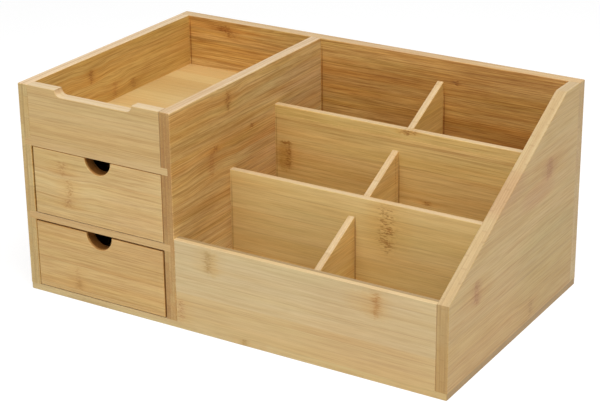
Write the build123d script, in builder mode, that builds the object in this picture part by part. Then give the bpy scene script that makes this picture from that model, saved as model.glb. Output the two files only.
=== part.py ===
"""Bamboo desk organizer: an open tray over two drawers on the left, six stepped compartments on the right.

Millimetres. The origin is the centre of the footprint on the desk, +X points right, +Y to the back, +Z up.
The boards are glued laminated bamboo, so most joints are flat faces that meet.
"""
from build123d import *

import os

# Overall size
WIDTH = 400
DEPTH = 242
HEIGHT = 186
LIP_HEIGHT = 79  # top of the low front board, where the right panel's slope starts
LEVEL_TOP = 37  # level stretch at the top of the right panel, back board included
SLOPE_BEND = 12  # radius between that level stretch and the slope

# Board stock
BOARD = 10
BACK_BOARD = 11
LIP_BOARD = 8
THIN_BOARD = 6
SOFT_EDGE = 0.8  # sanded edges
CORNER = 1.5  # outer corners of the bottom board

# Left column: tray over two drawers
BAY_WIDTH = 132
TRAY_FLOOR_TOP = 139
DRAWER_SHELF_TOP = 73
HOUSING = 6.5  # depth of the grooves that hold the shelves' ends
TRAY_NOTCH_WIDTH = 77
TRAY_NOTCH_DEPTH = 5.6  # also the radius of the notch's curved ends
TRAY_NOTCH_SHIFT = 1

# Right column: cross dividers and short cell dividers
REAR_DIVIDER_FRONT = 154  # distance from the organizer's front to the divider's front face
REAR_DIVIDER_TOP = 147.6
FRONT_DIVIDER_FRONT = 83
FRONT_DIVIDER_TOP = 111.5
DIVIDER_HOUSING = 3  # tongues at the cross dividers' ends
DIVIDER_SHOULDER = 9  # the tongues stop this far below the divider's top
CELL_SLOPE = 0.485  # fall of the cell dividers' top edges towards the front
REAR_CELL_TOP = 165.8
MIDDLE_CELL_TOP = 127.5
FRONT_CELL_TOP = 93.8
REAR_CELL_SHIFT = 0.7  # the cell dividers are glued a little off the middle, + to the right
MIDDLE_CELL_SHIFT = -0.6
FRONT_CELL_SHIFT = -2

# Drawers
DRAWER_WIDTH = 130.2
DRAWER_HEIGHT = 59.2
DRAWER_LENGTH = 227
DRAWER_LIFT = 0.3  # running clearance under each drawer
DRAWER_FRONT = 10
DRAWER_SIDE = 6
DRAWER_SIDE_HEIGHT = 54
DRAWER_LAP = 4  # how far the sides reach into the front board
BOTTOM_PANEL = 3
BOTTOM_GROOVE = 3
BOTTOM_RAISE = 3  # from the sides' lower edge to the groove
PANEL_PLAY = 0.2
FINGER_RADIUS = 13

# Fasteners
SCREW_RADIUS = 1.5
SCREW_LENGTH = 22
SCREW_HEAD_RADIUS = 3
SCREW_HEAD_HEIGHT = SCREW_HEAD_RADIUS - SCREW_RADIUS  # a 90-degree countersunk head
SCREW_SINK = 0.3  # the heads lie this far under the bottom face
CROSS_LENGTH = 3.4
CROSS_WIDTH = 0.8
CROSS_DEPTH = 0.9
DOWEL_RADIUS = 2.5
DOWEL_IN_FACE = 6
DOWEL_IN_END = 12
BRAD_RADIUS = 0.7
BRAD_LENGTH = 14

# Faces and levels that follow from the sizes above
LEFT, RIGHT = -WIDTH / 2, WIDTH / 2
FRONT, BACK = -DEPTH / 2, DEPTH / 2
BACK_INNER = BACK - BACK_BOARD
BAY_LEFT = LEFT + BOARD
BAY_RIGHT = BAY_LEFT + BAY_WIDTH
BAY_MIDDLE = (BAY_LEFT + BAY_RIGHT) / 2
CELLS_LEFT = BAY_RIGHT + BOARD
CELLS_RIGHT = RIGHT - BOARD
CELLS_MIDDLE = (CELLS_LEFT + CELLS_RIGHT) / 2
FLOOR = THIN_BOARD
LIP_BACK = FRONT + LIP_BOARD
REAR_DIVIDER_Y = (FRONT + REAR_DIVIDER_FRONT, FRONT + REAR_DIVIDER_FRONT + THIN_BOARD)
FRONT_DIVIDER_Y = (FRONT + FRONT_DIVIDER_FRONT, FRONT + FRONT_DIVIDER_FRONT + THIN_BOARD)
SHELF_TOPS = (TRAY_FLOOR_TOP, DRAWER_SHELF_TOP)
PANEL_MIDDLES = (LEFT + BOARD / 2, BAY_RIGHT + BOARD / 2, RIGHT - BOARD / 2)

# Where the screws and dowels go
PANEL_SCREW_YS = (-92, -6, 80)
BACK_SCREW_XS = (-124, 10, 132)
LIP_SCREW_XS = (-2, 144)
BACK_DOWEL_ZS = (36, 100, 164)
TRAY_FRONT_DOWEL_ZS = (150, 168)
LIP_DOWEL_ZS = (24, 60)
BRAD_ZS = (14, 40)  # above the drawer's lower edge

LEFTWARD, RIGHTWARD = (-1, 0, 0), (1, 0, 0)
FORWARD, BACKWARD = (0, -1, 0), (0, 1, 0)
UPWARD, DOWNWARD = (0, 0, 1), (0, 0, -1)


def save(part, name):
    """Labels a finished piece and writes its file."""
    part.label = name
    export_step(part, f"parts/{name}.step")


def slab(x, y, z, mode=Mode.ADD):
    """A board, or a groove in one, between the limits x, y and z, each given as (low, high)."""
    with BuildSketch(Plane.XY.offset(z[0])) as footprint:
        with Locations(((x[0] + x[1]) / 2, (y[0] + y[1]) / 2)):
            Rectangle(x[1] - x[0], y[1] - y[0])
    extrude(footprint.sketch, amount=z[1] - z[0], mode=mode)


def peg(point, direction, length, radius, mode=Mode.ADD):
    """A round peg, or a hole for one, that starts at point and runs along direction."""
    with BuildSketch(Plane(point, z_dir=direction)) as mouth:
        Circle(radius)
    extrude(mouth.sketch, amount=length, mode=mode)


def drill(points, direction, depth, radius=DOWEL_RADIUS):
    """A row of blind holes, all the same way."""
    for point in points:
        peg(point, direction, depth, radius, mode=Mode.SUBTRACT)


def screw_pilots(points):
    """Holes for the screws that come up through the bottom board."""
    for x, y in points:
        peg((x, y, FLOOR), UPWARD, SCREW_SINK + SCREW_LENGTH - FLOOR, SCREW_RADIUS, mode=Mode.SUBTRACT)


def top_edges(part, axis):
    """A board's highest edges along an axis."""
    return part.edges().filter_by(axis).group_by(Axis.Z)[-1]


def front_edges(part):
    """A board's upright edges at its front."""
    return part.edges().filter_by(Axis.Z).group_by(Axis.Y)[0]


def panel_screws(x):
    """Screw places under an upright panel."""
    return [(x, y) for y in PANEL_SCREW_YS]


def back_dowels(x):
    """Dowel places where an upright panel meets the back board."""
    return [(x, BACK_INNER, z) for z in BACK_DOWEL_ZS]


def tray_front_dowels(x):
    """Dowel places at one end of the tray front."""
    return [(x, FRONT + BOARD / 2, z) for z in TRAY_FRONT_DOWEL_ZS]


def lip_dowels(x):
    """Dowel places at one end of the low front board."""
    return [(x, FRONT + LIP_BOARD / 2, z) for z in LIP_DOWEL_ZS]


LIP_SCREWS = [(x, FRONT + LIP_BOARD / 2) for x in LIP_SCREW_XS]
BACK_SCREWS = [(x, BACK - BACK_BOARD / 2) for x in BACK_SCREW_XS]
ALL_SCREWS = [point for x in PANEL_MIDDLES for point in panel_screws(x)] + LIP_SCREWS + BACK_SCREWS

os.makedirs("parts", exist_ok=True)

# ---------------------------------------------------------------- carcass

with BuildPart() as bottom_board:
    slab((LEFT, RIGHT), (FRONT, BACK), (0, FLOOR))
    fillet(bottom_board.edges().filter_by(Axis.Z), CORNER)
    fillet(bottom_board.faces().sort_by(Axis.Z)[0].edges(), SOFT_EDGE)
    with Locations(*[Plane((x, y, 0), z_dir=DOWNWARD) for x, y in ALL_SCREWS]):
        CounterSinkHole(SCREW_RADIUS, SCREW_HEAD_RADIUS + SCREW_SINK, depth=FLOOR, counter_sink_angle=90)
save(bottom_board.part, "bottom_board")

with BuildPart() as back_panel:
    slab((LEFT, RIGHT), (BACK_INNER, BACK), (FLOOR, HEIGHT))
    fillet(
        top_edges(back_panel, Axis.X)
        + top_edges(back_panel, Axis.Y)
        + back_panel.edges().filter_by(Axis.Z).group_by(Axis.Y)[-1],
        SOFT_EDGE,
    )
    for panel_x in PANEL_MIDDLES:
        drill(back_dowels(panel_x), BACKWARD, DOWEL_IN_FACE)
    screw_pilots(BACK_SCREWS)
save(back_panel.part, "back_panel")

with BuildPart() as left_side_panel:
    slab((LEFT, BAY_LEFT), (FRONT, BACK_INNER), (FLOOR, HEIGHT))
    fillet(
        top_edges(left_side_panel, Axis.Y)
        + top_edges(left_side_panel, Axis.X).sort_by(Axis.Y)[:1]
        + front_edges(left_side_panel),
        SOFT_EDGE,
    )
    for shelf_top in SHELF_TOPS:
        slab(
            (BAY_LEFT - HOUSING, BAY_LEFT),
            (FRONT, BACK_INNER),
            (shelf_top - THIN_BOARD, shelf_top),
            mode=Mode.SUBTRACT,
        )
    drill(back_dowels(PANEL_MIDDLES[0]), FORWARD, DOWEL_IN_END)
    drill(tray_front_dowels(BAY_LEFT), LEFTWARD, DOWEL_IN_FACE)
    screw_pilots(panel_screws(PANEL_MIDDLES[0]))
save(left_side_panel.part, "left_side_panel")


def divider_housings(face_x, depth):
    """Stopped grooves for the tongues of both cross dividers, from face_x into a panel by depth."""
    for limits_y, top in ((REAR_DIVIDER_Y, REAR_DIVIDER_TOP), (FRONT_DIVIDER_Y, FRONT_DIVIDER_TOP)):
        slab(
            (min(face_x, face_x + depth), max(face_x, face_x + depth)),
            limits_y,
            (FLOOR, top - DIVIDER_SHOULDER),
            mode=Mode.SUBTRACT,
        )


with BuildPart() as middle_partition:
    slab((BAY_RIGHT, CELLS_LEFT), (FRONT, BACK_INNER), (FLOOR, HEIGHT))
    fillet(
        top_edges(middle_partition, Axis.Y)
        + top_edges(middle_partition, Axis.X).sort_by(Axis.Y)[:1]
        + front_edges(middle_partition),
        SOFT_EDGE,
    )
    for shelf_top in SHELF_TOPS:
        slab(
            (BAY_RIGHT, BAY_RIGHT + HOUSING),
            (FRONT, BACK_INNER),
            (shelf_top - THIN_BOARD, shelf_top),
            mode=Mode.SUBTRACT,
        )
    divider_housings(CELLS_LEFT, -DIVIDER_HOUSING)
    drill(back_dowels(PANEL_MIDDLES[1]), FORWARD, DOWEL_IN_END)
    drill(tray_front_dowels(BAY_RIGHT), RIGHTWARD, DOWEL_IN_FACE)
    drill(lip_dowels(CELLS_LEFT), LEFTWARD, DOWEL_IN_FACE)
    screw_pilots(panel_screws(PANEL_MIDDLES[1]))
save(middle_partition.part, "middle_partition")

with BuildPart() as right_side_panel:
    with BuildSketch(Plane.YZ.offset(CELLS_RIGHT)):
        with BuildLine():
            Polyline(
                (FRONT, FLOOR),
                (BACK_INNER, FLOOR),
                (BACK_INNER, HEIGHT),
                (BACK - LEVEL_TOP, HEIGHT),
                (FRONT, LIP_HEIGHT),
                close=True,
            )
        make_face()
    extrude(amount=BOARD)
    bend = right_side_panel.edges().filter_by(Axis.X).group_by(Axis.Z)[-1].sort_by(Axis.Y)[0]
    fillet(bend, SLOPE_BEND)
    outline = right_side_panel.faces().filter_by(Axis.X).edges()
    seams = outline.group_by(Axis.Z)[0] + outline.group_by(Axis.Y)[-1]
    fillet(outline - seams, SOFT_EDGE)
    divider_housings(CELLS_RIGHT, DIVIDER_HOUSING)
    drill(back_dowels(PANEL_MIDDLES[2]), FORWARD, DOWEL_IN_END)
    drill(lip_dowels(CELLS_RIGHT), RIGHTWARD, DOWEL_IN_FACE)
    screw_pilots(panel_screws(PANEL_MIDDLES[2]))
save(right_side_panel.part, "right_side_panel")

for shelf_top, shelf_name in zip(SHELF_TOPS, ("tray_floor", "drawer_shelf")):
    with BuildPart() as shelf:
        slab(
            (BAY_LEFT - HOUSING, BAY_RIGHT + HOUSING),
            (FRONT, BACK_INNER),
            (shelf_top - THIN_BOARD, shelf_top),
        )
    save(shelf.part, shelf_name)

with BuildPart() as tray_front:
    slab((BAY_LEFT, BAY_RIGHT), (FRONT, FRONT + BOARD), (TRAY_FLOOR_TOP, HEIGHT))
    with BuildSketch(Plane.XZ.offset(-FRONT)) as notch:
        with Locations((BAY_MIDDLE + TRAY_NOTCH_SHIFT, HEIGHT)):
            Rectangle(TRAY_NOTCH_WIDTH, 2 * TRAY_NOTCH_DEPTH)
        fillet(notch.vertices().group_by(Axis.Z)[0], TRAY_NOTCH_DEPTH)
    extrude(amount=-BOARD, mode=Mode.SUBTRACT)
    upper_rim = tray_front.faces().filter_by(Axis.Y).edges().filter_by(
        lambda edge: edge.center().Z > HEIGHT - TRAY_NOTCH_DEPTH - 1
    )
    fillet(upper_rim, SOFT_EDGE)
    drill(tray_front_dowels(BAY_LEFT), RIGHTWARD, DOWEL_IN_END)
    drill(tray_front_dowels(BAY_RIGHT), LEFTWARD, DOWEL_IN_END)
save(tray_front.part, "tray_front")

with BuildPart() as low_front_board:
    slab((CELLS_LEFT, CELLS_RIGHT), (FRONT, LIP_BACK), (FLOOR, LIP_HEIGHT))
    fillet(top_edges(low_front_board, Axis.X) + front_edges(low_front_board), SOFT_EDGE)
    drill(lip_dowels(CELLS_LEFT), RIGHTWARD, DOWEL_IN_END)
    drill(lip_dowels(CELLS_RIGHT), LEFTWARD, DOWEL_IN_END)
    screw_pilots(LIP_SCREWS)
save(low_front_board.part, "low_front_board")

# ---------------------------------------------------------------- compartment dividers

for limits_y, top, divider_name in (
    (REAR_DIVIDER_Y, REAR_DIVIDER_TOP, "rear_row_divider"),
    (FRONT_DIVIDER_Y, FRONT_DIVIDER_TOP, "front_row_divider"),
):
    with BuildPart() as row_divider:
        slab((CELLS_LEFT, CELLS_RIGHT), limits_y, (FLOOR, top))
        fillet(top_edges(row_divider, Axis.X), SOFT_EDGE)
        slab(
            (CELLS_LEFT - DIVIDER_HOUSING, CELLS_RIGHT + DIVIDER_HOUSING),
            limits_y,
            (FLOOR, top - DIVIDER_SHOULDER),
        )
    save(row_divider.part, divider_name)

for front_y, rear_y, rear_top, shift, cell_name in (
    (REAR_DIVIDER_Y[1], BACK_INNER, REAR_CELL_TOP, REAR_CELL_SHIFT, "rear_cell_divider"),
    (FRONT_DIVIDER_Y[1], REAR_DIVIDER_Y[0], MIDDLE_CELL_TOP, MIDDLE_CELL_SHIFT, "middle_cell_divider"),
    (LIP_BACK, FRONT_DIVIDER_Y[0], FRONT_CELL_TOP, FRONT_CELL_SHIFT, "front_cell_divider"),
):
    front_top = rear_top - CELL_SLOPE * (rear_y - front_y)
    with BuildPart() as cell_divider:
        with BuildSketch(Plane.YZ.offset(CELLS_MIDDLE + shift - THIN_BOARD / 2)):
            with BuildLine():
                Polyline(
                    (front_y, FLOOR),
                    (rear_y, FLOOR),
                    (rear_y, rear_top),
                    (front_y, front_top),
                    close=True,
                )
            make_face()
        extrude(amount=THIN_BOARD)
        sloped_face = cell_divider.faces().sort_by(Axis.Z)[-1]
        fillet(sloped_face.edges().filter_by(Axis.X, reverse=True), SOFT_EDGE)
    save(cell_divider.part, cell_name)

# ---------------------------------------------------------------- carcass fasteners

with BuildPart() as base_screws:
    with BuildSketch(Plane.XZ) as half_screw:
        with BuildLine():
            Polyline(
                (0, SCREW_SINK),
                (SCREW_HEAD_RADIUS, SCREW_SINK),
                (SCREW_RADIUS, SCREW_SINK + SCREW_HEAD_HEIGHT),
                (SCREW_RADIUS, SCREW_SINK + SCREW_LENGTH - 2 * SCREW_RADIUS),
                (0, SCREW_SINK + SCREW_LENGTH),
                close=True,
            )
        make_face()
    revolve(axis=Axis.Z)
    with BuildSketch(Plane.XY.offset(SCREW_SINK)):
        Rectangle(CROSS_LENGTH, CROSS_WIDTH)
        Rectangle(CROSS_WIDTH, CROSS_LENGTH)
    extrude(amount=CROSS_DEPTH, mode=Mode.SUBTRACT)
one_screw = base_screws.part
screw_group = Compound([one_screw.solid().moved(Location((x, y, 0))) for x, y in ALL_SCREWS])
save(screw_group, "base_screws")

with BuildPart() as carcass_dowels:
    dowel_joints = (
        [(place, FORWARD) for x in PANEL_MIDDLES for place in back_dowels(x)]
        + [(place, RIGHTWARD) for place in tray_front_dowels(BAY_LEFT) + lip_dowels(CELLS_LEFT)]
        + [(place, LEFTWARD) for place in tray_front_dowels(BAY_RIGHT) + lip_dowels(CELLS_RIGHT)]
    )
    for place, direction in dowel_joints:
        start = Vector(*place) - Vector(*direction) * DOWEL_IN_FACE
        peg(start, direction, DOWEL_IN_FACE + DOWEL_IN_END, DOWEL_RADIUS)
save(carcass_dowels.part, "carcass_dowels")

# ---------------------------------------------------------------- drawers


def make_drawer(name, floor, shift, finger_shift):
    """The five boards and the brads of one drawer that runs on floor.

    shift moves the drawer sideways within its bay's play, and finger_shift the notch along the front.
    """
    left = BAY_MIDDLE + shift - DRAWER_WIDTH / 2
    right = left + DRAWER_WIDTH
    low = floor + DRAWER_LIFT
    high = low + DRAWER_HEIGHT
    side_top = low + DRAWER_SIDE_HEIGHT
    front_inner = FRONT + DRAWER_FRONT
    lap = front_inner - DRAWER_LAP
    rear = FRONT + DRAWER_LENGTH
    groove_z = (low + BOTTOM_RAISE, low + BOTTOM_RAISE + BOTTOM_PANEL)
    side_limits = {"left": (left, left + DRAWER_SIDE), "right": (right - DRAWER_SIDE, right)}
    groove_limits = {
        "left": (left + DRAWER_SIDE - BOTTOM_GROOVE, left + DRAWER_SIDE),
        "right": (right - DRAWER_SIDE, right - DRAWER_SIDE + BOTTOM_GROOVE),
    }
    inner_x = (left + DRAWER_SIDE, right - DRAWER_SIDE)
    brad_ys = (lap + DRAWER_LAP / 2, rear - DRAWER_SIDE / 2)
    brad_places = [
        (x, y, low + z, direction)
        for x, direction in ((left, RIGHTWARD), (right, LEFTWARD))
        for y in brad_ys
        for z in BRAD_ZS
    ]

    def brad_holes():
        for x, y, z, direction in brad_places:
            peg((x, y, z), direction, BRAD_LENGTH, BRAD_RADIUS, mode=Mode.SUBTRACT)

    with BuildPart() as front:
        slab((left, right), (FRONT, front_inner), (low, high))
        with BuildSketch(Plane.XZ.offset(-FRONT)):
            with Locations(((left + right) / 2 + finger_shift, high)):
                Circle(FINGER_RADIUS)
        extrude(amount=-DRAWER_FRONT, mode=Mode.SUBTRACT)
        fillet(front.faces().sort_by(Axis.Y)[0].edges(), SOFT_EDGE)
        for limits_x in side_limits.values():
            slab(limits_x, (lap, front_inner), (low, side_top), mode=Mode.SUBTRACT)
        slab(inner_x, (front_inner - BOTTOM_GROOVE, front_inner), groove_z, mode=Mode.SUBTRACT)
        brad_holes()
    save(front.part, f"{name}_drawer_front")

    for hand in ("left", "right"):
        with BuildPart() as side:
            slab(side_limits[hand], (lap, rear), (low, side_top))
            fillet(top_edges(side, Axis.Y), SOFT_EDGE)
            slab(groove_limits[hand], (lap, rear), groove_z, mode=Mode.SUBTRACT)
            brad_holes()
        save(side.part, f"{name}_drawer_{hand}_side")

    with BuildPart() as back:
        slab(inner_x, (rear - DRAWER_SIDE, rear), (groove_z[1], side_top))
        fillet(top_edges(back, Axis.X), SOFT_EDGE)
        brad_holes()
    save(back.part, f"{name}_drawer_back")

    with BuildPart() as bottom:
        slab(
            (groove_limits["left"][0] + PANEL_PLAY, groove_limits["right"][1] - PANEL_PLAY),
            (front_inner - BOTTOM_GROOVE + PANEL_PLAY, rear),
            groove_z,
        )
    save(bottom.part, f"{name}_drawer_bottom")

    with BuildPart() as brads:
        for x, y, z, direction in brad_places:
            peg((x, y, z), direction, BRAD_LENGTH, BRAD_RADIUS)
    save(brads.part, f"{name}_drawer_brads")


make_drawer("upper", DRAWER_SHELF_TOP, shift=0.6, finger_shift=1.6)
make_drawer("lower", FLOOR, shift=-0.5, finger_shift=0.3)
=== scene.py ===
"""Looks of the bamboo desk organizer, with a studio floor, lamps and a camera.

Places are in metres, in the organizer's own frame: the origin is the centre of its footprint on the desk,
+X points right, +Y to the back and +Z up. Wood grain is measured in millimetres: along the grain, across it
on the board's face, and through the board's thickness.
"""
import math
from dataclasses import dataclass

import bpy
from mathutils import Color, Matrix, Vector


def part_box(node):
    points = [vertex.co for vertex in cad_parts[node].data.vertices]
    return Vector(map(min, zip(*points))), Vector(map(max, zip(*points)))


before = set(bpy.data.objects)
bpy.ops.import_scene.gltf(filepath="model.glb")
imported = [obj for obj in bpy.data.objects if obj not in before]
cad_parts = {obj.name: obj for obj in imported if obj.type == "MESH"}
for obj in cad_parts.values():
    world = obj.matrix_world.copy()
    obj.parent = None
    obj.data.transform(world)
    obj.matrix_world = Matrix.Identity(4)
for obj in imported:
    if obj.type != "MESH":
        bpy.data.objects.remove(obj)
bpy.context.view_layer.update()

MILLIMETRES = 1000  # in a metre

# ---------------------------------------------------------------- camera

CAMERA_AZIMUTH = math.radians(30.14)
CAMERA_ELEVATION = math.radians(21.78)
CAMERA_DISTANCE = 1.4772
CAMERA_TARGET = Vector((0.03656, 0.0100, 0.10215))
FOCAL_LENGTH_PIXELS = 1767.3
OPTICAL_CENTRE_PIXELS = (346.5, 179.9)  # from the picture's top left corner
IMAGE_WIDTH = 600
IMAGE_HEIGHT = 413
SENSOR_WIDTH = 36  # in millimetres


def direction(azimuth, elevation):
    """The unit vector from the organizer towards a camera or a lamp. Azimuth 0 is straight in front."""
    level = math.cos(elevation)
    return Vector((math.sin(azimuth) * level, -math.cos(azimuth) * level, math.sin(elevation)))


def make_camera():
    """The photograph's view, with the small shift that its framing needs."""
    data = bpy.data.cameras.new("camera")
    data.sensor_width = SENSOR_WIDTH
    data.lens = FOCAL_LENGTH_PIXELS * SENSOR_WIDTH / IMAGE_WIDTH
    data.shift_x = (IMAGE_WIDTH / 2 - OPTICAL_CENTRE_PIXELS[0]) / IMAGE_WIDTH
    data.shift_y = (OPTICAL_CENTRE_PIXELS[1] - IMAGE_HEIGHT / 2) / IMAGE_WIDTH
    camera = bpy.data.objects.new("camera", data)
    back = direction(CAMERA_AZIMUTH, CAMERA_ELEVATION)
    camera.location = CAMERA_TARGET + back * CAMERA_DISTANCE
    camera.rotation_euler = (-back).to_track_quat("-Z", "Y").to_euler()
    bpy.context.scene.collection.objects.link(camera)
    bpy.context.scene.camera = camera


# ---------------------------------------------------------------- colours and node graphs

BRIGHTEST = 255  # of the display values


def display(red, green, blue):
    """A colour written in 0-255 display values, as the renderer's linear red, green, blue and alpha."""
    shown = Color((red / BRIGHTEST, green / BRIGHTEST, blue / BRIGHTEST))
    return (*shown.from_srgb_to_scene_linear(), 1)


WHITE = (1, 1, 1, 1)


class Graph:
    """Adds nodes to one node tree. Each call gives the new node's output socket, but node gives the node."""

    def __init__(self, tree):
        self.tree = tree

    def feed(self, socket, value):
        """Links a socket to value, or writes value on it."""
        if isinstance(value, bpy.types.NodeSocket):
            self.tree.links.new(value, socket)
        else:
            socket.default_value = value

    def node(self, kind, inputs, **settings):
        new = self.tree.nodes.new(kind)
        for key, value in settings.items():
            setattr(new, key, value)
        for key, value in inputs.items():
            self.feed(new.inputs[key], value)
        return new

    def math(self, operation, first, second=0.0, clamp=False):
        node = self.node("ShaderNodeMath", {0: first, 1: second}, operation=operation, use_clamp=clamp)
        return node.outputs[0]

    def product(self, first, *others):
        """All the values multiplied together."""
        for other in others:
            first = self.math("MULTIPLY", first, other)
        return first

    def one_minus(self, value):
        return self.math("SUBTRACT", 1.0, value)

    def vector(self, x, y, z):
        return self.node("ShaderNodeCombineXYZ", {0: x, 1: y, 2: z}).outputs[0]

    def spread(self, value, low, high, smooth=True):
        """0 below low and 1 above high, with a gradual change between. low may be the larger one."""
        kind = "SMOOTHSTEP" if smooth else "LINEAR"
        inputs = {"Value": value, "From Min": low, "From Max": high}
        return self.node("ShaderNodeMapRange", inputs, interpolation_type=kind).outputs[0]

    def blend(self, amount, first, second, blend_type="MIX"):
        """Colour first, with second mixed in by amount."""
        inputs = {"Factor": amount, 6: first, 7: second}
        node = self.node("ShaderNodeMix", inputs, data_type="RGBA", blend_type=blend_type, clamp_factor=True)
        return node.outputs[2]

    def stain(self, colour, amount, tint):
        """Colour multiplied by tint where amount is 1, and left alone where it is 0."""
        return self.blend(amount, colour, tint, "MULTIPLY")

    def noise(self, places, sizes, detail):
        """Noise round 0.5, whose patches are about as big as sizes along the three places."""
        scaled = [self.math("DIVIDE", place, size) for place, size in zip(places, sizes)]
        inputs = {"Vector": self.vector(*scaled), "Scale": 1.0, "Detail": detail}
        return self.node("ShaderNodeTexNoise", inputs).outputs[0]

    def seen_directly(self):
        """1 for a ray that shows the floor or background itself, 0 for one that carries its light on."""
        path = self.node("ShaderNodeLightPath", {}).outputs
        direct = self.math("ADD", path["Is Camera Ray"], path["Is Glossy Ray"])
        return self.math("ADD", direct, path["Is Transmission Ray"], clamp=True)


class Material(Graph):
    """One material and the graph of its nodes."""

    def __init__(self, name):
        self.material = bpy.data.materials.new(name)
        self.material.use_nodes = True
        super().__init__(self.material.node_tree)
        self.shader = self.tree.nodes["Principled BSDF"]

    def object_coordinates(self):
        """The point's x, y and z in millimetres, in the organizer's frame with its drawers closed."""
        place = self.node("ShaderNodeTexCoord", {}).outputs["Object"]
        scaled = self.node("ShaderNodeVectorMath", {0: place, "Scale": MILLIMETRES}, operation="SCALE")
        return self.node("ShaderNodeSeparateXYZ", {0: scaled.outputs[0]}).outputs

    def object_normal(self):
        normal = self.node("ShaderNodeTexCoord", {}).outputs["Normal"]
        return self.node("ShaderNodeSeparateXYZ", {0: normal}).outputs

    def finish(self, colour, roughness, height, bump, bump_distance):
        """Wires up the colour, the roughness and a fine relief, and gives the material."""
        self.feed(self.shader.inputs["Base Color"], colour)
        self.feed(self.shader.inputs["Roughness"], roughness)
        inputs = {"Strength": bump, "Distance": bump_distance, "Height": height}
        bumped = self.node("ShaderNodeBump", inputs).outputs[0]
        self.feed(self.shader.inputs["Normal"], bumped)
        return self.material


# ---------------------------------------------------------------- tones and tints of bamboo

# Painted highlight: the first colour here is what faces that look up get by default, lighter where the light
# from above falls
TOP_HIGHLIGHT_CREAM = display(210, 188, 149)
TAN = display(200, 170, 128)
BAMBOO = display(214, 180, 124)
BEECH = display(222, 190, 150)

# Tints multiply the board's tone
NO_TINT = (1, 1, 1, 1)
KNUCKLE_BROWN = (0.60, 0.44, 0.28, 1)
KNUCKLE_RED = (0.78, 0.60, 0.48, 1)
KNUCKLE_OLIVE = (0.72, 0.62, 0.36, 1)
KNUCKLE_GOLD = (0.80, 0.62, 0.34, 1)
KNUCKLE_TAN = (0.76, 0.62, 0.44, 1)
STREAK_BROWN = (0.66, 0.53, 0.36, 1)
STREAK_ORANGE = (0.98, 0.84, 0.60, 1)
STREAK_OLIVE = (0.88, 0.92, 0.78, 1)
STRIP_TINT = (0.88, 0.82, 0.70, 1)
RED_TINT = (0.95, 0.83, 0.74, 1)
YELLOW_TINT = (0.98, 0.90, 0.74, 1)
PINK_TINT = (0.94, 0.84, 0.82, 1)
AMBER_TINT = (0.86, 0.76, 0.60, 1)
GLUE_TINT = (0.62, 0.50, 0.36, 1)
# Painted shade: the dark brown of a glue line, deepened for the shade in the inside corner where boards meet
JOINT_SHADE_BROWN = (0.50, 0.34, 0.20, 1)
DARK_PLY = (0.92, 0.89, 0.84, 1)
CORE_PLY = (0.80, 0.68, 0.50, 1)
SHADED_CORE_PLY = (0.50, 0.39, 0.27, 1)
GREY_PLY = (0.54, 0.50, 0.44, 1)
PLAIN_PLIES = (NO_TINT, NO_TINT, NO_TINT)

# ---------------------------------------------------------------- marks in the wood, and painted shade at joints

CRISP_SOFTNESS = 0.6  # marks with a harder edge than this aren't frayed
JOINT_SHADE_SOFTNESS = 0.55
WHOLE_BOARD = 1000.0  # longer than any board, in millimetres


@dataclass
class Mark:
    """A knuckle, stain, band or joint line with painted shade: its centre and half sizes along and across
    the grain, in millimetres.

    softness is the share of it that fades, and speckle how far it breaks up. bend is how far the fibres
    swerve round it. One that is front_only isn't on the board's other faces.
    """

    along: float
    across: float
    half_length: float
    half_height: float
    strength: float
    tint: tuple = KNUCKLE_BROWN
    softness: float = 0.8
    speckle: float = 0.5
    bend: float = 0.0
    front_only: bool = False


def joint_shade_line(along, across, half_height, strength=0.7):
    """A dark line across the grain where another board meets this one: a glue line with painted shade in the
    inside corner.
    """
    return Mark(
        along,
        across,
        half_length=0.9,
        half_height=half_height,
        strength=strength,
        tint=JOINT_SHADE_BROWN,
        softness=JOINT_SHADE_SOFTNESS,
        speckle=0.0,
        front_only=True,
    )


def band(across, half_height, strength, tint, softness=0.4):
    """A strip of another tone along the whole board."""
    return Mark(0.0, across, WHOLE_BOARD, half_height, strength, tint, softness, speckle=0.0)


def cloud(along, across, half_length, half_height, strength, tint=RED_TINT):
    """A soft patch of another tone."""
    return Mark(along, across, half_length, half_height, strength, tint, softness=1.0, speckle=0.1)


def knuckle(
    along, across, half_height, strength, tint=KNUCKLE_BROWN, half_length=2.6, speckle=0.5, bend=0.0
):
    """Where a stem's joint crosses a strip: a dark frayed bar in a wide warm halo."""
    halo = Mark(
        along,
        across,
        half_length=6 * half_length,
        half_height=1.15 * half_height,
        strength=0.40 * strength,
        tint=STREAK_ORANGE,
        softness=1.0,
        speckle=0.0,
        bend=bend,
    )
    own = dict(tint=tint, speckle=speckle)
    bar = Mark(along, across, 2.4 * half_length, half_height, 0.50 * strength, softness=1.0, **own)
    core = Mark(along, across, half_length, 0.9 * half_height, 0.95 * strength, softness=0.9, **own)
    return [halo, bar, core]


# ---------------------------------------------------------------- the bamboo material


@dataclass
class Streak:
    """One kind of streak along the grain: its length and width in millimetres, and how it tints the wood.

    It starts where its noise passes low and is full from high on, and share is how strongly it tints there.
    """

    length: float
    width: float
    detail: float
    low: float
    high: float
    share: float
    tint: tuple
    smooth: bool = False


STREAKS = {
    "warm": Streak(190.0, 9.0, 2.0, 0.40, 0.64, 0.36, STREAK_ORANGE),
    "olive": Streak(150.0, 12.0, 2.0, 0.42, 0.66, 0.32, STREAK_OLIVE),
    "patches": Streak(110.0, 30.0, 2.0, 0.35, 0.65, 0.10, STREAK_BROWN),
    "broad": Streak(150.0, 5.0, 1.0, 0.38, 0.62, 0.10, STREAK_BROWN),
    "lines": Streak(90.0, 1.9, 2.0, 0.42, 0.66, 0.20, STREAK_BROWN),
    "fine": Streak(38.0, 0.9, 1.0, 0.40, 0.66, 0.32, STREAK_BROWN),
    "fibres": Streak(12.0, 0.35, 2.0, 0.48, 0.66, 0.22, STREAK_BROWN, smooth=True),
}
CALM_ON_EDGES = 0.6  # how much of the streaks is left out on edges and ends

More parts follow.
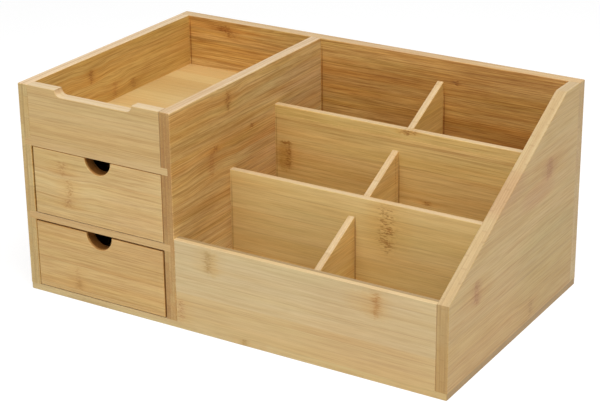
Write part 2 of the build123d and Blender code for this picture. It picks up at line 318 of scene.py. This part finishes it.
# Which of x, y and z runs along the grain, across it, and through the board
GRAIN_RIGHT_FACE_FRONT = (0, 2, 1)
GRAIN_RIGHT_FACE_UP = (0, 1, 2)
GRAIN_BACK_FACE_SIDE = (1, 2, 0)

# How squarely a face must look along the grain or up to count as an end or a top: not yet, and fully
END_NORMAL = (0.55, 0.95)
TOP_NORMAL = (0.3, 0.8)
FRONT_NORMAL = -0.5  # through the board, and below this for its front

# Strips side by side, in millimetres or in strips
STRIP_WIDTH = 20.0
STRIP_RANDOMNESS = 0.3
STRIPS_PER_SEED = 3.7
STRIPS_PER_PLY = 31.37
STRIP_SHIFT = 400.0  # how far apart neighbouring strips may lie along the grain
SHIFT_PER_SEED = 53.0
GLUE_LINE = (0.6, 0.1)  # from the middle of a joint: where its dark line starts, and where it is full
GLUE_LINE_STRENGTH = 0.25

# Marks' speckles and frayed outlines, in millimetres
SPECKLE_SIZE = (3.0, 1.1)
SPECKLE_NOISE = (0.42, 0.62)
FRAYED_ENDS = dict(length=16.0, width=0.9, reach=6.0)
FRAYED_SIDES = dict(length=3.0, width=4.0, reach=2.5)
BEND_START = 2.5  # how far from a knuckle its fibres start to swerve, in knuckle sizes

# Pores on the grain's ends, and the thin layers on edges and ends, in millimetres
PORE_SIZES = (0.55, 0.45, 6.0)
PORE_NOISE = (0.45, 0.75)
PORE_STRENGTH = 0.07
LAYER_SIZES = (1.5, 70.0, 1.0)
LAYER_NOISE = (0.38, 0.62)
LAYER_STRENGTH = 0.30

# Satin lacquer over fine fibres; the relief is in metres
LACQUER_ROUGHNESS = 0.40
FIBRE_ROUGHNESS = 0.12
FIBRE_HEIGHT = 0.6
BUMP = 0.2
BUMP_DISTANCE = 0.00012


class Wood(Material):
    """A board's bamboo: flat-pressed strips with fine fibres, dyed step by step.

    along, across and through are the point's place by the grain, in millimetres. on_end, on_top, on_edge and
    on_front are 1 on the grain's ends, on faces that look up, on either, and on the board's front.
    """

    def __init__(self, name, layout, seed, tone, top_painted_light_tone, end_tone):
        super().__init__(name)
        self.seed = seed
        place = self.object_coordinates()
        normal = self.object_normal()
        self.along, self.across, self.through = (place[axis] for axis in layout)
        self.on_end = self.spread(self.math("ABSOLUTE", normal[layout[0]]), *END_NORMAL)
        self.on_top = self.spread(normal[2], *TOP_NORMAL)
        self.on_edge = self.math("MAXIMUM", self.on_end, self.on_top)
        self.on_front = self.math("LESS_THAN", normal[layout[2]], FRONT_NORMAL)
        # Painted light and shade: faces that look up get their own tone, lighter or darker as the light from
        # above falls; the grain's ends get end_tone
        self.colour = self.blend(self.on_end, self.blend(self.on_top, tone, top_painted_light_tone), end_tone)

    def dye(self, amount, tint):
        """Multiplies the colour so far by tint where amount is 1."""
        self.colour = self.stain(self.colour, amount, tint)

    def mark_reach(self, along, across, mark):
        """0 at the middle of a mark, 1 at its edge and more outside it."""
        far_along = self.math("DIVIDE", self.math("SUBTRACT", along, mark.along), mark.half_length)
        far_across = self.math("DIVIDE", self.math("SUBTRACT", across, mark.across), mark.half_height)
        squared = self.product(far_across, far_across)
        return self.math("ADD", self.product(far_along, far_along), self.product(squared, squared))

    def bend_fibres(self, marks):
        """Moves the place across the grain, so that the fibres swerve round the knuckles that bend them."""
        straight = self.across
        for mark in marks:
            if mark.bend:
                reach = self.mark_reach(self.along, straight, mark)
                push = self.product(self.spread(reach, BEND_START, 0.0), mark.bend)
                self.across = self.math("ADD", self.across, push)

    def lay_strips(self, passed, strength):
        """Dyes each strip by its own random values, and shifts its grain along by another.

        passed has 1 for each ply joint that the point lies beyond, so that each ply's strips differ.
        """
        place = self.math("DIVIDE", self.across, STRIP_WIDTH)
        place = self.math("ADD", place, self.seed * STRIPS_PER_SEED)
        if passed:
            place = self.math("ADD", place, self.product(self.math("ADD", *passed), STRIPS_PER_PLY))
        inputs = {"W": place, "Scale": 1.0, "Randomness": STRIP_RANDOMNESS}
        cell = self.node("ShaderNodeTexVoronoi", inputs, voronoi_dimensions="1D", feature="F1")
        edge = self.node("ShaderNodeTexVoronoi", inputs, voronoi_dimensions="1D", feature="DISTANCE_TO_EDGE")
        values = self.node("ShaderNodeSeparateColor", {0: cell.outputs["Color"]}).outputs
        self.dye(self.product(values[0], strength), STRIP_TINT)
        self.dye(self.product(values[1], strength), RED_TINT)
        self.shifted_along = self.math("ADD", self.along, self.product(values[2], STRIP_SHIFT))
        self.shifted_across = self.math("ADD", self.across, self.seed * SHIFT_PER_SEED)
        starts, full = (distance / STRIP_WIDTH for distance in GLUE_LINE)
        self.glue_line = self.spread(edge.outputs["Distance"], starts, full)

    def grain_noise(self, length, width, detail=2.0):
        """Noise stretched along the grain, and shifted from strip to strip."""
        places = (self.shifted_along, self.shifted_across, self.through)
        return self.noise(places, (length, width, width), detail)

    def add_streaks(self, strength):
        """Dyes all the streaks, and keeps the finest ones for the relief."""
        calm = self.one_minus(self.product(self.on_edge, CALM_ON_EDGES))
        amounts = {}
        for kind, streak in STREAKS.items():
            grain = self.grain_noise(streak.length, streak.width, streak.detail)
            amounts[kind] = self.spread(grain, streak.low, streak.high, streak.smooth)
            self.dye(self.product(amounts[kind], calm, streak.share * strength), streak.tint)
        self.dye(self.product(self.glue_line, GLUE_LINE_STRENGTH), GLUE_TINT)
        self.fine = amounts["fine"]
        self.fibres = amounts["fibres"]

    def frayed(self, place, length, width, reach):
        """The place, moved by up to reach to either side, in bits of this length and width."""
        noise = self.noise((self.along, self.across, 0.0), (length, width, 1.0), detail=1.0)
        return self.math("ADD", place, self.product(self.math("SUBTRACT", noise, 0.5), 2 * reach))

    def add_marks(self, marks):
        """Dyes the marks: speckled by their own measure, and frayed unless they are crisp."""
        speckles = self.spread(self.grain_noise(*SPECKLE_SIZE), *SPECKLE_NOISE)
        frayed_along = self.frayed(self.along, **FRAYED_ENDS)
        frayed_across = self.frayed(self.across, **FRAYED_SIDES)
        for mark in marks:
            crisp = mark.softness < CRISP_SOFTNESS
            places = (self.along, self.across) if crisp else (frayed_along, frayed_across)
            inside = self.spread(self.mark_reach(*places, mark), 1.0, 1.0 - mark.softness)
            whole = self.one_minus(self.product(self.one_minus(speckles), mark.speckle))
            amount = self.product(inside, whole, mark.strength)
            if mark.front_only:
                amount = self.product(amount, self.on_front)
            self.dye(amount, mark.tint)

    def add_edges(self):
        """Pores on the grain's ends, and the thin layers that edges and ends show."""
        pores = self.noise((self.across, self.through, self.along), PORE_SIZES, detail=1.0)
        self.dye(self.product(self.on_end, self.spread(pores, *PORE_NOISE), PORE_STRENGTH), GLUE_TINT)
        layers = self.noise((self.through, self.across, self.seed), LAYER_SIZES, detail=2.0)
        self.dye(self.product(self.on_edge, self.spread(layers, *LAYER_NOISE), LAYER_STRENGTH), STREAK_BROWN)

    def add_plies(self, plies, passed, tints):
        """Dyes the three plies, and draws a dark line at both joints between them."""
        above_low, above_high = passed
        in_ply = (self.one_minus(above_low), self.math("SUBTRACT", above_low, above_high), above_high)
        for amount, tint in zip(in_ply, tints):
            if tint is not NO_TINT:
                self.dye(amount, tint)
        for joint in plies:
            distance = self.math("ABSOLUTE", self.math("SUBTRACT", self.through, joint))
            self.dye(self.product(self.spread(distance, *GLUE_LINE), GLUE_LINE_STRENGTH), GLUE_TINT)


def bamboo(
    name,
    layout,
    tone,
    seed,
    top_painted_light_tone=TOP_HIGHLIGHT_CREAM,
    end_tone=TAN,
    streaks=1.0,
    strips=0.5,
    plies=(),
    ply_tints=(NO_TINT, CORE_PLY, NO_TINT),
    marks=(),
):
    """A board's material.

    tone is its faces' colour, top_painted_light_tone is painted light and shade on faces that look up, and
    end_tone is the colour of the grain's ends.
    plies gives the two places, through the board, where its three plies meet.
    """
    wood = Wood(name, layout, seed, tone, top_painted_light_tone, end_tone)
    wood.bend_fibres(marks)
    passed = [wood.math("GREATER_THAN", wood.through, joint) for joint in plies]
    wood.lay_strips(passed, strips)
    wood.add_streaks(streaks)
    wood.add_marks(marks)
    wood.add_edges()
    if plies:
        wood.add_plies(plies, passed, ply_tints)
    roughness = wood.math("ADD", LACQUER_ROUGHNESS, wood.product(wood.fine, FIBRE_ROUGHNESS))
    height = wood.math("ADD", wood.fine, wood.product(wood.fibres, FIBRE_HEIGHT))
    return wood.finish(wood.colour, roughness, height, BUMP, BUMP_DISTANCE)


# ---------------------------------------------------------------- metal

SCUFF_NOISE = (0.35, 0.65)
SCUFF_TINT = (0.75, 0.74, 0.72, 1)
SCUFF_STRENGTH = 0.5
SCUFF_ROUGHNESS = 0.15
SCUFF_BUMP = 0.1
SCUFF_BUMP_DISTANCE = 0.0001  # in metres


def metal(name, tone, roughness):
    """Plated steel with faint scuffs."""
    plated = Material(name)
    plated.feed(plated.shader.inputs["Metallic"], 1.0)
    noise = plated.noise(plated.object_coordinates(), (1.0, 1.0, 1.0), detail=4.0)
    scuffs = plated.spread(noise, *SCUFF_NOISE)
    rough = plated.math("ADD", roughness, plated.product(scuffs, SCUFF_ROUGHNESS))
    colour = plated.stain(tone, plated.product(scuffs, SCUFF_STRENGTH), SCUFF_TINT)
    return plated.finish(colour, rough, scuffs, SCUFF_BUMP, SCUFF_BUMP_DISTANCE)


# ---------------------------------------------------------------- floor, lamps, background

FLOOR_HALF_WIDTH = 6.0
FLOOR_ROUGHNESS = 0.9
FLOOR_TONE = (0.86, 0.86, 0.86, 1)  # where it throws light back on the wood
FLOOR_SEEN_TONE = (0.30, 0.30, 0.30, 1)  # where it is seen; the rest of its white is given off
FLOOR_EMISSION = 0.79


def make_floor():
    """A plain white floor that keeps a soft shadow."""
    half = FLOOR_HALF_WIDTH
    mesh = bpy.data.meshes.new("floor")
    corners = [(-half, -half, 0), (half, -half, 0), (half, half, 0), (-half, half, 0)]
    mesh.from_pydata(corners, [], [(0, 1, 2, 3)])
    floor = bpy.data.objects.new("floor", mesh)
    bpy.context.scene.collection.objects.link(floor)
    white = Material("floor_white")
    seen = white.seen_directly()
    inputs = white.shader.inputs
    white.feed(inputs["Roughness"], FLOOR_ROUGHNESS)
    white.feed(inputs["Specular IOR Level"], 0.0)
    white.feed(inputs["Base Color"], white.blend(seen, FLOOR_TONE, FLOOR_SEEN_TONE))
    white.feed(inputs["Emission Color"], WHITE)
    white.feed(inputs["Emission Strength"], white.product(seen, FLOOR_EMISSION))
    floor.data.materials.append(white.material)


WORLD_STRENGTH = 0.25
BACKGROUND_STRENGTH = 1.0


def make_world():
    """Even white surroundings: white where they are seen, softer as a light."""
    world = bpy.data.worlds.new("studio")
    bpy.context.scene.world = world
    world.use_nodes = True
    graph = Graph(world.node_tree)
    levels = {"Value": graph.seen_directly(), "To Min": WORLD_STRENGTH, "To Max": BACKGROUND_STRENGTH}
    background = world.node_tree.nodes["Background"].inputs
    graph.feed(background["Color"], WHITE)
    graph.feed(background["Strength"], graph.node("ShaderNodeMapRange", levels).outputs[0])


LAMP_DISTANCE = 1.6
LAMP_WIDTH = 1.2
LAMP_AIM = Vector((0, 0, 0.08))


def softbox(name, azimuth, elevation, power):
    """A square area lamp aimed at the organizer's middle, with its angles in degrees."""
    data = bpy.data.lights.new(name, "AREA")
    data.size = LAMP_WIDTH
    data.energy = power
    lamp = bpy.data.objects.new(name, data)
    towards = direction(math.radians(azimuth), math.radians(elevation))
    lamp.location = LAMP_AIM + towards * LAMP_DISTANCE
    lamp.rotation_euler = (-towards).to_track_quat("-Z", "Y").to_euler()
    bpy.context.scene.collection.objects.link(lamp)


def make_lamps():
    softbox("front_high", azimuth=5, elevation=62, power=12.4)
    softbox("right_high", azimuth=70, elevation=62, power=18)
    softbox("front_low", azimuth=5, elevation=20, power=4.1)


# ---------------------------------------------------------------- the organizer's boards

OUTSIDE = 100.0  # a depth beyond any board's thickness, in millimetres


def right_of(node, gap):
    """The place, in millimetres, this far to the right of a CAD piece."""
    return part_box(node)[1][0] * MILLIMETRES + gap


# Each board's tones, with painted light and shade on its faces that look up, strength of streaks and strips,
# and marks.
# plies are the depths of its ply joints, in millimetres from its left or front face. Marks are placed by the
# photograph.
BOARDS = {
    "bottom_board": dict(
        layout=GRAIN_RIGHT_FACE_UP,
        tone=display(208, 186, 135),
        end_tone=display(173, 143, 86),
        seed=1,
        marks=[
            *knuckle(16.0, -121.0, 5.0, 0.7, KNUCKLE_OLIVE),
            cloud(34.0, -121.0, 5.0, 4.0, 0.4),
        ],
    ),
    "back_panel": dict(
        layout=GRAIN_RIGHT_FACE_FRONT,
        tone=display(229, 195, 128),
        end_tone=display(212, 191, 142),
        top_painted_light_tone=display(230, 210, 172),
        seed=2,
        streaks=2.6,
        marks=[
            *knuckle(-151.0, 180.0, 4.0, 1.0, half_length=9.0, bend=2.0),
            *knuckle(-145.0, 174.0, 5.0, 0.9, half_length=6.0, speckle=0.9, bend=-1.0),
            *knuckle(86.5, 166.7, 2.4, 1.0),
            cloud(90.0, 120.0, 190.0, 110.0, 0.8, AMBER_TINT),
            cloud(60.0, 120.0, 60.0, 24.0, 0.4),
            cloud(150.0, 120.0, 60.0, 18.0, 0.8),
            cloud(20.0, 95.0, 90.0, 22.0, 0.6),
            joint_shade_line(right_of("middle_partition", 1.4), 95.0, 92.0),
            joint_shade_line(right_of("left_side_panel", 1.4), 160.0, 26.0),
            joint_shade_line(right_of("rear_cell_divider", 1.3), 85.0, 78.0),
        ],
    ),
    "left_side_panel": dict(
        layout=GRAIN_BACK_FACE_SIDE,
        tone=display(222, 186, 112),
        top_painted_light_tone=display(230, 208, 174),
        end_tone=display(205, 182, 126),
        seed=3,
        streaks=1.9,
        plies=(4.0, 5.0),
        ply_tints=(NO_TINT, DARK_PLY, NO_TINT),
        marks=[
            *knuckle(-37.0, 170.3, 8.0, 0.8, half_length=3.0, bend=2.0),
            *knuckle(-5.0, 150.0, 10.0, 0.6, KNUCKLE_RED, bend=2.0),
            *knuckle(22.0, 146.0, 5.0, 0.6, half_length=4.0),
        ],
    ),
    "middle_partition": dict(
        layout=GRAIN_BACK_FACE_SIDE,
        tone=display(235, 209, 156),
        top_painted_light_tone=display(222, 201, 168),
        end_tone=display(194, 161, 102),
        seed=4,
        streaks=2.2,
        plies=(4.0, 6.5),
        ply_tints=(DARK_PLY, NO_TINT, NO_TINT),
        marks=[
            *knuckle(-38.5, 173.0, 11.0, 0.8, half_length=3.0, bend=1.5),
            *knuckle(-64.0, 123.0, 15.0, 0.6, KNUCKLE_RED, half_length=4.0, bend=-2.0),
            *knuckle(-58.0, 134.0, 3.0, 0.9, half_length=3.0),
            *knuckle(-4.0, 139.5, 2.5, 0.9),
            cloud(-80.0, 135.0, 120.0, 62.0, 1.0, AMBER_TINT),
            cloud(40.0, 110.0, 70.0, 30.0, 0.8, PINK_TINT),
            cloud(70.0, 160.0, 50.0, 16.0, 0.6, PINK_TINT),
        ],
    ),
    "right_side_panel": dict(
        layout=GRAIN_BACK_FACE_SIDE,
        tone=display(201, 171, 111),
        top_painted_light_tone=display(191, 167, 124),
        end_tone=display(184, 155, 101),
        seed=5,
        streaks=0.95,
        strips=0.25,
        plies=(3.5, 7.5),
        ply_tints=PLAIN_PLIES,
        marks=[
            *knuckle(55.5, 131.0, 11.0, 0.9, KNUCKLE_RED, half_length=8.0, speckle=0.4, bend=1.5),
            cloud(35.0, 115.0, 40.0, 13.0, 1.0, PINK_TINT),
            cloud(-30.0, 134.0, 50.0, 16.0, 1.0, PINK_TINT),
            cloud(60.0, 50.0, 80.0, 45.0, 0.8, STREAK_OLIVE),
            *knuckle(-74.0, 71.0, 12.0, 1.0, KNUCKLE_RED, half_length=5.5, speckle=0.5),
            band(18.0, 34.0, 0.75, YELLOW_TINT, softness=1.0),
            *knuckle(28.0, 18.0, 9.0, 0.6, KNUCKLE_OLIVE, half_length=4.0, speckle=0.7, bend=1.5),
        ],
    ),
    "tray_floor": dict(
        layout=GRAIN_RIGHT_FACE_UP,
        tone=display(212, 187, 135),
        top_painted_light_tone=display(209, 181, 124),
        seed=6,
    ),
    "drawer_shelf": dict(layout=GRAIN_RIGHT_FACE_UP, tone=display(203, 170, 114), seed=7),
    "tray_front": dict(
        layout=GRAIN_RIGHT_FACE_FRONT,
        tone=display(205, 176, 121),
        seed=8,
        strips=0.2,
    ),
    "low_front_board": dict(
        layout=GRAIN_RIGHT_FACE_FRONT,
        tone=display(205, 184, 139),
        top_painted_light_tone=display(214, 190, 146),
        seed=9,
        streaks=0.8,
        strips=0.15,
        plies=(4.0, OUTSIDE),
        ply_tints=(NO_TINT, GREY_PLY, NO_TINT),
        marks=[
            *knuckle(-15.4, 66.0, 12.0, 0.8, KNUCKLE_OLIVE, half_length=3.2),
            cloud(-10.0, 64.0, 5.0, 12.0, 0.7, YELLOW_TINT),
            *knuckle(138.6, 66.0, 13.0, 0.9, KNUCKLE_GOLD, half_length=2.8, speckle=0.4),
            cloud(128.0, 66.0, 22.0, 10.0, 0.7, YELLOW_TINT),
            *knuckle(-43.6, 17.0, 12.0, 0.8, KNUCKLE_RED, speckle=0.9),
            band(14.0, 20.0, 0.8, YELLOW_TINT, softness=0.3),
            cloud(135.0, 40.0, 75.0, 45.0, 0.4, PINK_TINT),
        ],
    ),
    "rear_row_divider": dict(
        layout=GRAIN_RIGHT_FACE_FRONT,
        tone=display(230, 200, 133),
        seed=10,
        streaks=1.3,
        marks=[
            Mark(-39.0, 101.0, 9.0, 15.0, 0.9, KNUCKLE_OLIVE, softness=0.9, speckle=0.4),
            *knuckle(-34.0, 101.0, 13.0, 0.8, speckle=0.8),
            Mark(-36.5, 114.1, 7.0, 1.8, 1.0, softness=0.9, speckle=0.1),
            *knuckle(100.5, 85.5, 2.0, 0.9),
            *knuckle(81.0, 145.0, 2.6, 0.9),
            *knuckle(76.0, 145.0, 2.0, 0.6, half_length=1.6),
            *knuckle(88.0, 146.0, 2.0, 0.6, half_length=1.6),
            cloud(50.0, 143.0, 200.0, 5.0, 0.7, STREAK_OLIVE),
            band(135.0, 1.2, 0.5, STREAK_BROWN),
            band(130.8, 0.7, 0.4, STREAK_BROWN),
            joint_shade_line(right_of("middle_cell_divider", 0.5), 62.0, 60.0),
            joint_shade_line(right_of("middle_partition", 1.2), 75.0, 72.0, 0.4),
        ],
    ),
    "front_row_divider": dict(
        layout=GRAIN_RIGHT_FACE_FRONT,
        tone=display(234, 206, 141),
        seed=11,
        streaks=0.9,
        marks=[
            *knuckle(103.0, 88.0, 25.0, 0.8, speckle=1.0, half_length=4.5),
            *knuckle(97.0, 91.0, 22.0, 0.4, speckle=1.0, half_length=3.0),
            joint_shade_line(right_of("front_cell_divider", 0.6), 50.0, 48.0),
            joint_shade_line(right_of("middle_partition", 1.2), 55.0, 53.0, 0.4),
        ],
    ),
    "rear_cell_divider": dict(
        layout=GRAIN_BACK_FACE_SIDE,
        tone=display(228, 192, 117),
        seed=12,
        streaks=1.3,
    ),
    "middle_cell_divider": dict(
        layout=GRAIN_BACK_FACE_SIDE,
        tone=display(236, 205, 137),
        seed=13,
        streaks=1.3,
        marks=[Mark(28.0, 90.0, 0.9, 40.0, 0.7, speckle=1.0, softness=0.5)],
    ),
    "front_cell_divider": dict(
        layout=GRAIN_BACK_FACE_SIDE,
        tone=display(238, 207, 137),
        seed=14,
        streaks=1.3,
    ),
}

# Both drawers' boards are alike, apart from their fronts' tones and marks
DRAWER_BOARDS = {
    "front": dict(
        layout=GRAIN_RIGHT_FACE_FRONT,
        # Painted shade: these top and end tones darken the finger notch's floor and walls, and the front's
        # top edge
        top_painted_light_tone=display(186, 141, 82),
        end_tone=display(184, 138, 76),
        streaks=1.3,
        plies=(2.5, 9.5),
        ply_tints=(NO_TINT, SHADED_CORE_PLY, NO_TINT),
    ),
    "left_side": dict(layout=GRAIN_BACK_FACE_SIDE),
    "right_side": dict(layout=GRAIN_BACK_FACE_SIDE),
    "back": dict(layout=GRAIN_RIGHT_FACE_FRONT),
    "bottom": dict(layout=GRAIN_RIGHT_FACE_UP, top_painted_light_tone=BAMBOO),
}
DRAWERS = {
    "upper_drawer": dict(
        first_seed=20,
        front_tone=display(218, 193, 138),
        front_marks=[
            *knuckle(-158.5, 120.0, 7.0, 0.7, KNUCKLE_TAN, half_length=3.5, speckle=0.9, bend=1.0),
            *knuckle(-152.5, 103.0, 9.0, 0.8, KNUCKLE_TAN, half_length=3.0, speckle=0.9, bend=1.5),
            *knuckle(-154.0, 89.5, 6.0, 0.9, KNUCKLE_TAN, half_length=3.5, speckle=0.8, bend=1.0),
            cloud(-85.0, 100.0, 40.0, 34.0, 0.4, PINK_TINT),
        ],
    ),
    "lower_drawer": dict(
        first_seed=30,
        front_tone=display(210, 177, 116),
        front_marks=[
            *knuckle(-148.0, 15.0, 5.0, 0.7, KNUCKLE_OLIVE, half_length=3.5, speckle=0.4),
            *knuckle(-148.5, 25.0, 8.0, 0.4, KNUCKLE_TAN, speckle=0.8),
        ],
    ),
}
DOWEL_SEED = 40


def dress(node, material):
    """Gives a CAD piece its finish."""
    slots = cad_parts[node].data.materials
    slots.clear()
    slots.append(material)


def dress_board(node, layout, plies=(), **look):
    """Gives a board its bamboo, with its plies measured from its left or front face."""
    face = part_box(node)[0][layout[2]] * MILLIMETRES
    joints = [face + depth for depth in plies]
    dress(node, bamboo(f"bamboo_{node}", layout, plies=joints, **look))


def dress_drawer(drawer, first_seed, front_tone, front_marks):
    """Gives a drawer's five boards and its brads their finish."""
    for step, (board, look) in enumerate(DRAWER_BOARDS.items()):
        own = dict(tone=front_tone, marks=front_marks) if board == "front" else dict(tone=BAMBOO)
        dress_board(f"{drawer}_{board}", seed=first_seed + step, **own, **look)
    dress(f"{drawer}_brads", metal(f"steel_{drawer}", display(150, 148, 144), roughness=0.35))


def dress_all():
    for node, look in BOARDS.items():
        dress_board(node, **look)
    for drawer, look in DRAWERS.items():
        dress_drawer(drawer, **look)
    dress("base_screws", metal("zinc", display(205, 200, 185), roughness=0.3))
    dress("carcass_dowels", bamboo("beech", GRAIN_BACK_FACE_SIDE, BEECH, DOWEL_SEED))


make_camera()
make_world()
make_lamps()
make_floor()
dress_all()

bpy.context.scene.view_settings.view_transform = "Standard"
